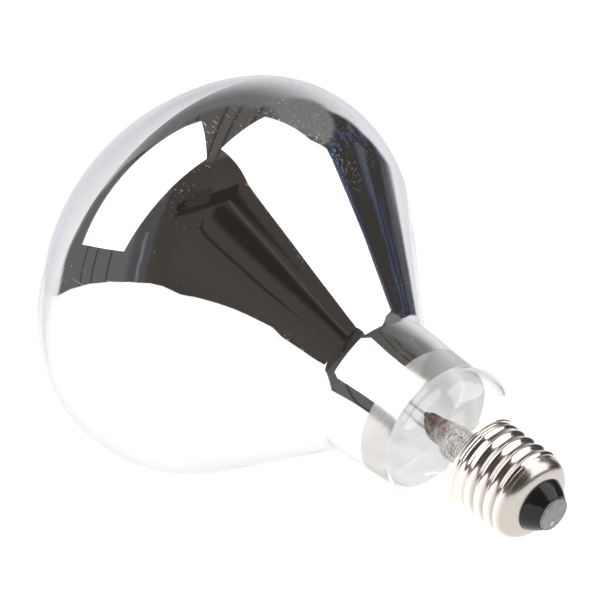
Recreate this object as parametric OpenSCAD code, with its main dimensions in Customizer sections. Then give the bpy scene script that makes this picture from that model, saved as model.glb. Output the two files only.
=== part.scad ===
// Infrared reflector heat lamp with an E27 screw cap, as a set of separate pieces.
// The origin is the centre of the contact face. +Z points out of the cap along the lamp's axis,
// so the glass hangs below it and every "depth" is a distance along -Z from the contact face.

/* [Bulb] */
// Length from the contact face to the pole of the lens
overall_l = 180; // [160:1:220]
// Largest diameter of the glass
bulb_d = 125; // [110:1:150]
// Thickness of the glass
glass_t = 1; // [0.8:0.1:1.2]
// Height of the lens from the widest ring to its pole
lens_h = 46; // [38:1:52]
// Radius of the rounded corner between lens and widest ring
corner_r = 28; // [20:1:34]
// Radius of the bowl above the widest ring
bowl_r = 37.5; // [32:0.5:45]
// Slope of the bowl's straight part, measured from the axis
bowl_slope = 39.5; // [36:0.5:44]
// Radius of the fillet between bowl and neck
bowl_fillet_r = 7; // [4:0.5:12]

/* [Neck] */
// Diameter of the neck just above the bowl
neck_d = 42.2; // [40:0.1:46]
// Diameter of the neck's waist
waist_d = 39.8; // [37:0.1:42]
// Depth of the waist
waist_depth = 46; // [44:0.5:50]
// Diameter of the bulge at the shoulder
shoulder_d = 42.4; // [40:0.1:46]
// Depth of the shoulder's bulge
shoulder_depth = 40; // [38:0.5:42]
// Radius of the shoulder
shoulder_r = 8.5; // [6:0.5:10]
// Diameter of the glass inside the cap
seal_d = 22; // [20:0.5:22.5]
// Depth at which the glass inside the cap ends
seal_depth = 15; // [13:0.5:17]

/* [Mirror] */
// Thickness of the mirror film
film_t = 0.12; // [0.1:0.01:0.3]
// Depth at which the mirror ends across the neck
film_top_depth = 54; // [52:1:58]
// How far the mirror runs past the widest ring towards the lens pole
film_past_ring = 6.5; // [0:0.5:22]

/* [Screw cap] */
// Largest diameter of the rolled thread
thread_major_d = 26.2; // [26:0.05:26.45]
// Smallest diameter of the rolled thread
thread_minor_d = 24.2; // [23.9:0.05:24.4]
// Pitch of the thread
thread_pitch = 3.629; // [3.629:0.001:3.629]
// Depth of the shell's opening edge
shell_top_depth = 5.3; // [4.5:0.1:6]
// Diameter of the opening at the end of the shell
shell_opening_d = 15.8; // [14:0.1:17]
// Radius of the shell's rounded end
shell_round_r = 4.4; // [3.5:0.1:4.8]
// Depth at which the thread runs out
thread_end_depth = 23; // [21:0.5:24]
// Diameter of the bead between thread and rim
bead_d = 26.3; // [26:0.1:27]
// Diameter of the turned-out rim
rim_d = 26.9; // [26.5:0.1:28]
// Depth of the rim
rim_depth = 27; // [26:0.5:28]
// Thickness of the shell's sheet
shell_t = 0.3; // [0.2:0.05:0.4]
// Turn of the thread about the axis
thread_phase = 222; // [0:1:359]

/* [Cap end] */
// Diameter of the centre contact
contact_d = 9.8; // [8:0.1:11]
// Thickness of the centre contact
contact_t = 0.8; // [0.6:0.1:1.2]
// Diameter of the insulator where it meets the contact
insulator_tip_d = 10.8; // [10:0.1:12]
// Depth of the insulator's inner face
insulator_depth = 9.5; // [8.5:0.1:10.5]
// Distance of the wire's solder point from the axis
solder_offset = 2.9; // [1.5:0.1:3.2]
// Direction of the solder point
solder_az = 37; // [0:1:359]
// Diameter of the solder point
solder_d = 1.8; // [1.4:0.1:2.4]
// Height of the solder point, which stands in a dimple as deep
solder_h = 0.35; // [0.2:0.05:0.6]
// Depth at which the cement ends inside the cap
cement_depth = 20; // [18:0.5:22]
// Clearance between rigid pieces that fit into each other
fit_gap = 0.06; // [0.04:0.01:0.1]

/* [Stem] */
// Direction of the line through both seal wires
stem_az = 62; // [0:1:359]
// Depth of the press end that faces the lens
press_depth = 49; // [48:0.5:52]
// Length of the press
press_l = 6; // [5:0.5:7]
// Width of the press across both seal wires
press_w = 10; // [9:0.5:12]
// Thickness of the press
press_t = 4; // [3:0.5:5]
// Diameter of the stem tube below the press
stem_tube_d = 10; // [9.4:0.1:12]
// Thickness of the stem's glass
stem_t = 0.9; // [0.7:0.1:1]
// Radius of the trumpet between stem tube and skirt
trumpet_r = 14; // [10:1:18]
// Length of the skirt that is sealed to the bulb
skirt_l = 2.5; // [2:0.5:4]
// Diameter of the exhaust tube
exhaust_d = 3.2; // [2.8:0.1:3.6]
// Depth of the exhaust tube's closed tip
exhaust_tip_depth = 22; // [19:0.5:26]
// Distance between the two seal wires
seal_pitch = 6.6; // [6.2:0.1:7]
// Diameter of a seal wire
seal_wire_d = 1; // [0.8:0.1:1.2]
// Diameter of the glass cane
cane_d = 3; // [2.5:0.1:3.4]
// Depth of the button at the end of the cane
button_depth = 78; // [74:1:84]
// Diameter of the button
button_d = 6; // [5:0.1:7]

/* [Filament] */
// Depth of the plane of the filament
filament_depth = 92; // [88:1:98]
// Diameter of the ring into which the coil is bent
ring_d = 28; // [24:1:34]
// Opening of the ring, as an angle
ring_gap = 60; // [40:1:80]
// Diameter of the coil, to the centre of its wire
coil_d = 2; // [1.6:0.1:2.6]
// Number of turns in the coil
coil_turns = 44; // [36:1:50]
// Diameter of the filament wire
filament_wire_d = 0.4; // [0.3:0.05:0.5]
// Diameter of the lead wires inside the bulb
inner_lead_d = 0.9; // [0.7:0.1:1.1]
// Diameter of the lead wires inside the cap
outer_lead_d = 0.5; // [0.4:0.1:0.6]
// Diameter of the support wires
support_wire_d = 0.4; // [0.3:0.05:0.5]

/* [Hidden] */
$fn = 96;

arc_steps = 14;
eps = 0.01;

// Bulb outline, from the lens to the part of the neck inside the cap
bulb_r = bulb_d / 2;
neck_r = neck_d / 2;
waist_r = waist_d / 2;
shoulder_max_r = shoulder_d / 2;
seal_r = seal_d / 2;
ring_z = lens_h - overall_l;
lens_offset = lens_h - corner_r;
corner_axis = bulb_r - corner_r;
dome_rise = (corner_axis ^ 2 - lens_offset ^ 2) / (2 * lens_offset);
dome_r = dome_rise + lens_h;
dome_end = atan2(-dome_rise, corner_axis);
bowl_axis = bulb_r - bowl_r;
bowl_straight = (bowl_axis + (bowl_r + bowl_fillet_r) * cos(bowl_slope) - neck_r - bowl_fillet_r)
    / sin(bowl_slope);
neck_z = ring_z + (bowl_r + bowl_fillet_r) * sin(bowl_slope) + bowl_straight * cos(bowl_slope);
shoulder_turn = 60;
collar_fillet_r = 2;
shoulder_axis = shoulder_max_r - shoulder_r;
shoulder_straight = (shoulder_axis + (shoulder_r + collar_fillet_r) * cos(shoulder_turn)
    - seal_r - collar_fillet_r) / sin(shoulder_turn);
collar_z = -shoulder_depth + (shoulder_r + collar_fillet_r) * sin(shoulder_turn)
    + shoulder_straight * cos(shoulder_turn);

// Cap
thread_mid_r = (thread_major_d + thread_minor_d) / 4;
thread_wave = (thread_major_d - thread_minor_d) / 4;
opening_r = shell_opening_d / 2;
thread_start_depth = shell_top_depth + shell_round_r;
thread_fade = thread_pitch / 3;
thread_steps = 30;
thread_sides = 40;
bead_l = 1.2;
facet_shrink = cos(180 / thread_sides);
solder_xy = solder_offset * [cos(solder_az), sin(solder_az)];
cement_outer_r = (min(bead_d, thread_minor_d) / 2 - shell_t) * facet_shrink - fit_gap;
side_lead_az = stem_az;
lead_slot_w = 2 * outer_lead_d;

// Stem
stem_r = stem_tube_d / 2;
skirt_r = seal_r - glass_t;
stem_x = [cos(stem_az), sin(stem_az), 0];
seal_top_depth = press_depth - press_l;

// Filament ring: its opening is square to the line through the seal wires
ring_r = ring_d / 2;
ring_start = stem_az + 90 + ring_gap / 2;
ring_sweep = 360 - ring_gap;
coil_steps = 8;
support_count = 6;
loop_r = coil_d / 2 + filament_wire_d / 2 + support_wire_d / 2 + fit_gap;
support_az = [for (i = [1:support_count]) ring_start + ring_sweep * (i - 0.5) / support_count];

function depth(xy, d) = [xy[0], xy[1], -d];
function polar(r, az) = r * [cos(az), sin(az)];
function unit(v) = v / norm(v);
function arc(centre, r, from, to, steps = arc_steps) =
    [for (i = [0:steps]) centre + r * [cos(from + (to - from) * i / steps),
        sin(from + (to - from) * i / steps)]];
function ease(t) = (1 - cos(180 * t)) / 2;
function swell(r0, z0, r1, z1, steps = arc_steps) =
    [for (i = [1:steps - 1]) [r0 + (r1 - r0) * ease(i / steps), z0 + (z1 - z0) * i / steps]];

// Outline of the bulb, moved inwards by inset, from the lens pole to the open neck
function bulb_outline(inset) = concat(
    arc([0, ring_z + dome_rise], dome_r - inset, -90, dome_end),
    arc([corner_axis, ring_z], corner_r - inset, dome_end, 0),
    arc([bowl_axis, ring_z], bowl_r - inset, 0, bowl_slope),
    arc([neck_r + bowl_fillet_r, neck_z], bowl_fillet_r + inset, 180 + bowl_slope, 180),
    swell(neck_r - inset, neck_z, waist_r - inset, -waist_depth),
    swell(waist_r - inset, -waist_depth, shoulder_max_r - inset, -shoulder_depth, 8),
    arc([shoulder_axis, -shoulder_depth], shoulder_r - inset, 0, shoulder_turn),
    arc([seal_r + collar_fillet_r, collar_z], collar_fillet_r + inset, 180 + shoulder_turn, 180, 6),
    [[seal_r - inset, -seal_depth]]);

// Area between the axis and the bulb's outline
module bulb_area(inset) {
    polygon(concat(bulb_outline(inset), [[0, -seal_depth]]));
}

module rod(r, from, to) {
    translate([0, 0, -to]) cylinder(r = r, h = to - from);
}

module link(a, b, r) {
    run = b - a;
    translate(a)
        rotate([0, acos(run[2] / norm(run)), atan2(run[1], run[0])])
            cylinder(r = r, h = norm(run), $fn = 24);
}

// Points of a path with each corner rounded, starting the given reach before it
function softened(points, reach) = concat([points[0]],
    [for (i = [1:len(points) - 2], t = [0:0.25:1])
        let (a = points[i] + reach * unit(points[i - 1] - points[i]),
                b = points[i] + reach * unit(points[i + 1] - points[i]))
            (1 - t) ^ 2 * a + 2 * t * (1 - t) * points[i] + t ^ 2 * b],
    [points[len(points) - 1]]);

// One vector at right angles to each direction, turned as little as possible from one to the next
function side_vectors(directions, last, i = 0) = i == len(directions) ? []
    : let (v = unit(last - directions[i] * (last * directions[i])))
        concat([v], side_vectors(directions, v, i + 1));

// Round wire swept along a path as one tube
module wire(path, r, sides = 8) {
    last = len(path) - 1;
    directions = [for (i = [0:last]) unit(path[min(i + 1, last)] - path[max(i - 1, 0)])];
    across = side_vectors(directions, unit([0.3, 0.9, 0.1]));
    points = [for (i = [0:last], j = [0:sides - 1])
        path[i] + r * (across[i] * cos(360 * j / sides)
            + cross(directions[i], across[i]) * sin(360 * j / sides))];
    skin = [for (i = [0:last - 1], j = [0:sides - 1])
        let (a = i * sides + j, b = i * sides + (j + 1) % sides)
            each [[a, a + sides, b], [b, a + sides, b + sides]]];
    ends = [[for (j = [0:sides - 1]) j], [for (j = [sides - 1:-1:0]) last * sides + j]];
    polyhedron(points, concat(skin, ends));
}

module glass_envelope() {
    color("gainsboro", 0.35)
        rotate_extrude()
            difference() {
                bulb_area(0);
                bulb_area(glass_t);
                translate([-eps, -seal_depth - eps]) square([skirt_r + eps, 2 * eps]);
            }
}

module reflector_film() {
    color("silver")
        rotate_extrude()
            intersection() {
                difference() {
                    bulb_area(glass_t);
                    bulb_area(glass_t + film_t);
                }
                translate([0, ring_z - film_past_ring])
                    square([bulb_r, -ring_z + film_past_ring - film_top_depth]);
            }
}

// Rolled thread: the sheet's radius swings between root and crest once a turn and once a pitch
function fade(d) = ease(min(1, max(0, (d - thread_start_depth) / thread_fade)))
    * ease(min(1, max(0, (thread_end_depth - d) / thread_fade)));
function thread_r(d, az) = thread_mid_r
    + thread_wave * fade(d) * cos(-360 * d / thread_pitch - az + thread_phase);

// Rings of the sheet as [radius, depth] pairs, with inset 0 outside and shell_t inside
function round_rings(inset) = [for (a = [0:15:75])
    [opening_r + (shell_round_r - inset) * sin(a),
        shell_top_depth + shell_round_r - (shell_round_r - inset) * cos(a)]];
function bead_rings(inset) = [
    [bead_d / 2 - inset, thread_end_depth + bead_l],
    [bead_d / 2 - inset, thread_end_depth + 2 * bead_l],
    [thread_mid_r + shell_t - inset, rim_depth - bead_l],
    [rim_d / 2 - inset, rim_depth]];
function ring_points(r, d) = [for (j = [0:thread_sides - 1])
    let (az = 360 * j / thread_sides) [r * cos(az), r * sin(az), -d]];
function sheet_points(inset) = concat(
    [for (q = round_rings(inset)) each ring_points(q[0], q[1])],
    [for (i = [0:thread_steps])
        let (d = thread_start_depth + (thread_end_depth - thread_start_depth) * i / thread_steps)
            for (j = [0:thread_sides - 1])
                let (az = 360 * j / thread_sides, r = thread_r(d, az) - inset)
                    [r * cos(az), r * sin(az), -d]],
    [for (q = bead_rings(inset)) each ring_points(q[0], q[1])]);

module screw_shell() {
    outside = sheet_points(0);
    inside = sheet_points(shell_t);
    n = thread_sides;
    rings = len(outside) / n;
    far = len(outside);
    walls = [for (i = [0:rings - 2], j = [0:n - 1])
        let (a = i * n + j, b = i * n + (j + 1) % n, c = a + n, d = b + n)
            each [[a, b, c], [b, d, c], [far + a, far + c, far + b], [far + b, far + c, far + d]]];
    edges = [for (j = [0:n - 1])
        let (k = (j + 1) % n, last = (rings - 1) * n)
            each [[j, far + j, k], [k, far + j, far + k],
                [last + j, last + k, far + last + j], [last + k, far + last + k, far + last + j]]];
    color("lightgray") polyhedron(concat(outside, inside), concat(walls, edges));
}

module insulator() {
    collar_r = opening_r * facet_shrink - fit_gap;
    under_depth = shell_top_depth + shell_t + fit_gap;
    inner_round = shell_round_r - shell_t - fit_gap;
    color([0.06, 0.06, 0.07])
        difference() {
            rotate_extrude()
                polygon(concat(
                    [[0, -contact_t], [insulator_tip_d / 2, -contact_t],
                        [collar_r, -shell_top_depth], [collar_r, -under_depth]],
                    arc([collar_r, -under_depth - inner_round], inner_round * facet_shrink, 90, 20),
                    [[collar_r + inner_round * facet_shrink * cos(20), -insulator_depth],
                        [0, -insulator_depth]]));
            translate(depth(solder_xy, insulator_depth + 1)) cylinder(r = outer_lead_d / 2 + fit_gap,
                h = insulator_depth + 2);
        }
}

module centre_contact() {
    edge_chamfer = contact_t / 4;
    color([0.62, 0.61, 0.6])
        difference() {
            rotate_extrude()
                polygon([[0, 0], [contact_d / 2 - edge_chamfer, 0], [contact_d / 2, -edge_chamfer],
                    [contact_d / 2, -contact_t], [0, -contact_t]]);
            translate(depth(solder_xy, contact_t + 1)) cylinder(r = outer_lead_d / 2 + fit_gap,
                h = contact_t + 2);
            translate(depth(solder_xy, solder_h)) cylinder(d = solder_d, h = 2 * solder_h);
        }
}

// Shallow drop of solder on a flat face
module drop(d, h) {
    ball_r = (d ^ 2 / 4 + h ^ 2) / (2 * h);
    intersection() {
        translate([0, 0, h - ball_r]) sphere(ball_r);
        cylinder(d = d, h = h);
    }
}

module contact_solder() {
    color([0.85, 0.85, 0.86]) translate(depth(solder_xy, solder_h)) drop(solder_d, solder_h);
}

module rim_solder() {
    pool_d = 3;
    pool_h = 0.9;
    at = depth(polar(rim_d / 2 + fit_gap, side_lead_az), rim_depth - pool_d / 2 - fit_gap);
    color([0.8, 0.8, 0.81])
        translate(at) rotate([0, 90, side_lead_az]) drop(pool_d, pool_h);
}

module basing_cement() {
    color([0.82, 0.79, 0.72])
        difference() {
            rod(cement_outer_r, cement_depth, rim_depth);
            rod(seal_r, cement_depth - 1, rim_depth + 1);
            rotate(side_lead_az)
                translate([seal_r - 1, -lead_slot_w / 2, -rim_depth - 1])
                    cube([cement_outer_r, lead_slot_w, rim_depth - cement_depth + 2]);
        }
}

// Stem outline, moved inwards by inset, from the tube's top to the skirt's open end
function stem_outline(inset) = concat(
    [[stem_r - inset, -seal_top_depth + inset]],
    arc([stem_r + trumpet_r, -seal_depth - skirt_l - trumpet_r], trumpet_r + inset, 180,
        180 - acos((trumpet_r + stem_r - skirt_r) / trumpet_r)),
    [[skirt_r - inset, -seal_depth - skirt_l], [skirt_r - inset, -seal_depth]]);

module stem_flare() {
    color("gainsboro", 0.5)
        difference() {
            union() {
                rotate_extrude() polygon(concat(stem_outline(0), [[0, -seal_depth],
                    [0, -seal_top_depth]]));
                rotate(stem_az) translate([-press_w / 2, -press_t / 2, -press_depth])
                    cube([press_w, press_t, press_l + stem_t]);
            }
            rotate_extrude() polygon(concat(stem_outline(stem_t), [[0, -seal_depth],
                [0, -seal_top_depth + stem_t]]));
            rod(skirt_r - stem_t, seal_depth - 1, seal_depth + eps);
            for (side = [-1, 1])
                translate(side * seal_pitch / 2 * stem_x) rod(seal_wire_d / 2, seal_top_depth - stem_t - 1,
                    press_depth + 1);
            rod(cane_d / 2, press_depth - press_l / 3, press_depth + 1);
        }
}

module exhaust_tube() {
    bore_r = exhaust_d / 2 - stem_t / 2;
    tip_centre = exhaust_tip_depth + exhaust_d / 2;
    color("gainsboro", 0.5)
        difference() {
            union() {
                rod(exhaust_d / 2, tip_centre, seal_top_depth - stem_t);
                translate([0, 0, -tip_centre]) sphere(exhaust_d / 2);
            }
            rod(bore_r, tip_centre, seal_top_depth + 1);
        }
}

module support_cane() {
    color("gainsboro", 0.5)
        difference() {
            union() {
                rod(cane_d / 2, press_depth - press_l / 3, button_depth);
                translate([0, 0, -button_depth]) sphere(button_d / 2);
            }
            for (az = support_az) support_arm(az);
        }
}

// One copper-coated seal wire in the press, on the given side of the axis
module dumet_seal(side) {
    color([0.6, 0.32, 0.16])
        translate(side * seal_pitch / 2 * stem_x) rod(seal_wire_d / 2, seal_top_depth - stem_t, press_depth);
}

// Nickel lead from a seal wire out to one end of the filament
module inner_lead(side, ring_end_az) {
    foot = depth(side * seal_pitch / 2 * stem_x, press_depth);
    bend = depth(side * seal_pitch / 2 * stem_x, press_depth + seal_pitch);
    reach = ring_r + coil_d / 2 + filament_wire_d / 2 + inner_lead_d / 2 + fit_gap;
    hold = depth(polar(reach, ring_end_az), filament_depth - coil_d);
    tip = depth(polar(reach, ring_end_az), filament_depth + coil_d / 2);
    color([0.55, 0.54, 0.52])
        wire(softened([foot, bend, hold, tip], 2 * inner_lead_d), inner_lead_d / 2);
}

module outer_lead_side() {
    start = seal_pitch / 2 * stem_x;
    run_r = seal_r + outer_lead_d / 2 + fit_gap;
    out = polar(run_r, side_lead_az);
    under = seal_depth - 2 * outer_lead_d;
    edge = rim_depth + outer_lead_d;
    color([0.72, 0.45, 0.3])
        wire(softened([depth(start, seal_top_depth - stem_t), depth(start, under), depth(out, under),
            depth(out, edge), depth(polar(rim_d / 2, side_lead_az), edge)], outer_lead_d),
            outer_lead_d / 2);
}

module outer_lead_centre() {
    start = -seal_pitch / 2 * stem_x;
    low = insulator_depth + 2;
    color([0.72, 0.45, 0.3])
        wire(softened([depth(start, seal_top_depth - stem_t), depth(start, seal_depth),
            depth(solder_xy, low), depth(solder_xy, solder_h)], outer_lead_d), outer_lead_d / 2);
}

// Coil bent into an open ring
module filament() {
    steps = coil_turns * coil_steps;
    coil = [for (i = [0:steps])
        let (az = ring_start + ring_sweep * i / steps, turn = 360 * i / coil_steps)
            depth(polar(ring_r + coil_d / 2 * cos(turn), az), filament_depth - coil_d / 2 * sin(turn))];
    color([0.35, 0.35, 0.37]) wire(coil, filament_wire_d / 2, 5);
}

// Straight run of a support wire, from inside the button to its loop round the coil
module support_arm(az) {
    link(depth(polar(button_d / 4, az), button_depth),
        depth(polar(ring_r - loop_r * sin(45), az), filament_depth - loop_r * sin(45)),
        support_wire_d / 2);
}

module support_wire(az) {
    color([0.5, 0.5, 0.52]) {
        support_arm(az);
        translate(depth(polar(ring_r, az), filament_depth))
            rotate([90, 0, az])
                rotate_extrude() translate([loop_r, 0]) circle(d = support_wire_d, $fn = 16);
    }
}

glass_envelope();
reflector_film();
screw_shell();
insulator();
centre_contact();
contact_solder();
rim_solder();
basing_cement();
stem_flare();
exhaust_tube();
support_cane();
dumet_seal(1);  // dumet_seal_a
dumet_seal(-1);  // dumet_seal_b
inner_lead(1, ring_start + ring_sweep);  // inner_lead_a
inner_lead(-1, ring_start);  // inner_lead_b
outer_lead_side();
outer_lead_centre();
filament();
support_wire(support_az[0]);  // support_wire_1
support_wire(support_az[1]);  // support_wire_2
support_wire(support_az[2]);  // support_wire_3
support_wire(support_az[3]);  // support_wire_4
support_wire(support_az[4]);  // support_wire_5
support_wire(support_az[5]);  // support_wire_6
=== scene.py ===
import math

import bmesh
import bpy
import numpy as np
from mathutils import Matrix, Vector


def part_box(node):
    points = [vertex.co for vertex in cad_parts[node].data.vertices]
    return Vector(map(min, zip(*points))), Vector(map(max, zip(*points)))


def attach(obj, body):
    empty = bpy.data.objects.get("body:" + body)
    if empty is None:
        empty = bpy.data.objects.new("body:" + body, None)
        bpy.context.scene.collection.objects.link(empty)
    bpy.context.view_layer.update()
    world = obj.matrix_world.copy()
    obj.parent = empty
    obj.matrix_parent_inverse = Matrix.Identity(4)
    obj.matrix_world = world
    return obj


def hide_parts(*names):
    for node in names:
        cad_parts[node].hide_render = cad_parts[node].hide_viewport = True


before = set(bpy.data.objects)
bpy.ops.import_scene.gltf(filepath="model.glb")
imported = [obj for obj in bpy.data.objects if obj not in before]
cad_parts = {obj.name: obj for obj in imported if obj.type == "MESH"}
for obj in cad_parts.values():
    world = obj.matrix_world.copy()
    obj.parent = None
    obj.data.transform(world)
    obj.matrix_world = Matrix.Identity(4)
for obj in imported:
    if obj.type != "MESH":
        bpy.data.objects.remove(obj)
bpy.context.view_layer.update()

# Looks of an infrared reflector heat lamp. The origin is the centre of the contact face, +Z points out of the
# cap, and a depth runs along -Z from there. The lamp's lengths are millimetres until they reach a mesh, and
# the lengths of the camera and the studio are metres.

MM = 0.001
BODY = "root"
TINY = 1e-6
HALF_TURN = math.pi
QUARTER_TURN = math.pi / 2
FULL_TURN = 2 * math.pi
SHARP_ANGLE = math.radians(50)
WHITE = (1.0, 1.0, 1.0)


def box_mm(node):
    """Lowest and highest corner of a CAD node, in millimetres."""
    low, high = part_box(node)
    return np.array(low) / MM, np.array(high) / MM


ENVELOPE = box_mm("glass_envelope")
FILM = box_mm("reflector_film")
SHELL = box_mm("screw_shell")
INSULATOR = box_mm("insulator")
CONTACT = box_mm("centre_contact")
SOLDER = box_mm("contact_solder")
RIM_SOLDER = box_mm("rim_solder")
CEMENT = box_mm("basing_cement")
STEM = box_mm("stem_flare")
EXHAUST = box_mm("exhaust_tube")
CANE = box_mm("support_cane")

# Bulb
BULB_R = ENVELOPE[1][0]
POLE_Z = ENVELOPE[0][2]
SEAL_END_Z = ENVELOPE[1][2]
GLASS_T = 1.0
GLASS_SIDES = 256
LENS_H = 46.0
RING_Z = POLE_Z + LENS_H
CORNER_R = 28.0
BOWL_R = 37.5
BOWL_SLOPE = math.radians(39.5)
BOWL_FILLET_R = 7.0
NECK_R = 21.1
WAIST_R = 19.9
WAIST_Z = -46.0
SHOULDER_MAX_R = 21.2
SHOULDER_Z = -40.0
SHOULDER_R = 8.5
SHOULDER_TURN = math.radians(60)
SEAL_R = 11.0
COLLAR_FILLET_R = 2.0

# Mirror: it is bonded this deep into the inner skin of the glass
BOND = 0.04
FILM_T = 0.12
FILM_TOP_Z = FILM[1][2]
FILM_END_Z = FILM[0][2]
HAZE_TOP_Z = -45.0
HAZE_SIDES = 192

# Cap
SHELL_TOP_Z = SHELL[1][2]
SHELL_T = 0.3
SHELL_SIDES = 180
OPENING_R = 7.9
ROUND_R = 4.4
THREAD_START_Z = SHELL_TOP_Z - ROUND_R
THREAD_END_Z = -23.0
THREAD_CREST_R = 13.1
THREAD_ROOT_R = 12.1
THREAD_MIDDLE_R = (THREAD_CREST_R + THREAD_ROOT_R) / 2
THREAD_PITCH = 3.629
THREAD_PHASE = math.radians(222)
BEAD_R = 13.15
BEAD_L = 2.4
RIM_Z = SHELL[0][2]
RIM_R = SHELL[1][0]
RIM_L = 0.75

# Stem
STEM_AZ = math.radians(62)
STEM_R = 5.0
STEM_T = 0.9
STEM_SIDES = 96
STEM_TOP_Z = STEM[1][2]
SKIRT_R = SEAL_R - GLASS_T
SKIRT_L = 2.5
TRUMPET_R = 14.0
TRUMPET_Z = STEM_TOP_Z - SKIRT_L - TRUMPET_R
PRESS_TOP_Z = -43.0
PRESS_START_Z = PRESS_TOP_Z - 1.2
PRESS_END_Z = -49.0
PRESS_W = 10.0
PRESS_T = 4.0
PRESS_POWER = 3.6
SEAL_PITCH = 6.6
SEAL_WIRE_R = 0.5
LEAD_FOOT_Z = PRESS_TOP_Z + STEM_T
CANE_R = 1.5
BUTTON_R = 3.0
BUTTON_Z = -78.0

# Filament and wires
FILAMENT_Z = -92.0
RING_R = 14.0
RING_GAP = math.radians(60)
RING_START = STEM_AZ + QUARTER_TURN + RING_GAP / 2
RING_SWEEP = FULL_TURN - RING_GAP
COIL_R = 1.0
COIL_TURNS = 44
COIL_STEPS = 16
FILAMENT_WIRE_R = 0.2
SUPPORT_COUNT = 6
SUPPORT_WIRE_R = 0.2
INNER_LEAD_R = 0.45
OUTER_LEAD_R = 0.25
FIT_GAP = 0.06

# Camera: it looks at a point beside the neck's axis, from the side of the cap, and it is rolled
CAMERA_AT = Vector((0.0, -0.5707, 0.2917))
CAMERA_AIM = Vector((-0.0069, 0.0, -0.1073))
CAMERA_ROLL = math.radians(125.69)
CAMERA_LENS = 144.0
CAMERA_SENSOR = 36.0

# Studio: the table that the lamp lies on in the mirror's reflections, the lights and the floor
TABLE_UP = Vector((-0.798, -0.461, -0.388)).normalized()
TABLE_RIGHT = Vector((-0.5886, 0.4585, 0.6659)).normalized()
TABLE_AWAY = TABLE_UP.cross(TABLE_RIGHT).normalized()
TABLE_AT = Vector((0.0536, 0.0322, -0.134)) - TABLE_UP * 0.0055
TABLE_GLOW = 1.12
SOFTBOX_GLOW = 1.9
FLOOR_GLOW = 0.82
FLOOR_HALF = 4.0


# ---------------------------------------------------------------------------------------------- meshes

def polar(r, az, z):
    """A point at an azimuth round the lamp's axis."""
    return np.array((r * math.cos(az), r * math.sin(az), z))


def azimuths(sides):
    """Equal steps of one full turn."""
    return np.arange(sides) * FULL_TURN / sides


def arc(centre, r, start, end, steps):
    """Points of an arc in the (radius, height) plane."""
    turn = np.linspace(start, end, steps + 1)
    return [(centre[0] + r * math.cos(a), centre[1] + r * math.sin(a)) for a in turn]


def ease(t):
    """Smooth rise from 0 to 1 as t does the same."""
    return (1 - np.cos(np.pi * t)) / 2


def ring(r, z, sides):
    """One ring of points about the axis, or a single point where the radius is nothing. The radius is one
    number, or one for each side."""
    if np.ndim(r) == 0 and r < TINY:
        return np.array([[0.0, 0.0, z]])
    az = azimuths(sides)
    return np.stack([r * np.cos(az), r * np.sin(az), np.full(sides, z)], axis=1)


def add_object(name, data):
    """Puts a new object with this data in the scene."""
    made = bpy.data.objects.new(name, data)
    bpy.context.scene.collection.objects.link(made)
    return made


def skin(name, rings, loop=False, band_materials=None):
    """Mesh object whose surface joins one ring of points to the next. A ring of one point closes the surface,
    and band_materials gives each band between two rings its material number."""
    starts = np.cumsum([0] + [len(r) for r in rings])
    faces = []
    marks = []
    bands = len(rings) if loop else len(rings) - 1
    for i in range(bands):
        k = (i + 1) % len(rings)
        a, b = len(rings[i]), len(rings[k])
        for j in range(max(a, b)):
            corners = [starts[i] + j % a, starts[i] + (j + 1) % a, starts[k] + (j + 1) % b, starts[k] + j % b]
            face = list(dict.fromkeys(int(c) for c in corners))
            if len(face) > 2:
                faces.append(face)
                marks.append(band_materials[i] if band_materials else 0)
    mesh = bpy.data.meshes.new(name)
    mesh.from_pydata((np.concatenate(rings) * MM).tolist(), [], faces)
    mesh.polygons.foreach_set("material_index", marks)
    work = bmesh.new()
    work.from_mesh(mesh)
    bmesh.ops.recalc_face_normals(work, faces=work.faces)
    work.to_mesh(mesh)
    work.free()
    mesh.shade_smooth()
    mesh.set_sharp_from_angle(angle=SHARP_ANGLE)
    return add_object(name, mesh)


def revolved(name, outline, sides=96, loop=True, band_materials=None):
    """Solid of revolution from a (radius, height) outline, which is a loop or starts and ends on the axis."""
    return skin(name, [ring(r, z, sides) for r, z in outline], loop, band_materials)


def round_section(centre, side, over, r, sides):
    """Ring of points round a centre, in the plane of two directions."""
    turn = azimuths(sides)
    return centre + np.outer(r * np.cos(turn), side) + np.outer(r * np.sin(turn), over)


def swept(name, path, radius, sides=12):
    """Round wire along a path, with closed ends. The radius is one number or one for each point."""
    path = np.array(path, float)
    radii = np.broadcast_to(radius, len(path))
    run = np.gradient(path, axis=0)
    run /= np.linalg.norm(run, axis=1)[:, None]
    side = np.array((0.3, 0.9, 0.1))
    rings = [path[:1]]
    for point, along, r in zip(path, run, radii):
        side = side - along * (side @ along)
        side /= np.linalg.norm(side)
        rings.append(round_section(point, side, np.cross(along, side), r, sides))
    rings.append(path[-1:])
    return skin(name, rings)


def smooth_path(points, reach, steps=6):
    """A path with each corner rounded, starting the given reach before it."""
    points = [np.array(p, float) for p in points]
    path = [points[0]]
    for before, corner, after in zip(points, points[1:], points[2:]):
        a = corner + reach * (before - corner) / np.linalg.norm(before - corner)
        b = corner + reach * (after - corner) / np.linalg.norm(after - corner)
        for t in np.linspace(0, 1, steps + 1):
            path.append((1 - t) ** 2 * a + 2 * t * (1 - t) * corner + t ** 2 * b)
    path.append(points[-1])
    return path


def place(piece, slot, materials, *nodes):
    """Gives a piece its materials and body, and hides the CAD nodes that it stands for. The slot is not used.
    """
    for material in materials:
        piece.data.materials.append(material)
    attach(piece, BODY)
    if nodes:
        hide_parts(*nodes)


# ------------------------------------------------------------------------------------------- materials

def node_of(tree, kind):
    """The first node of a kind in a node tree."""
    return next(n for n in tree.nodes if n.type == kind)


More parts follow.
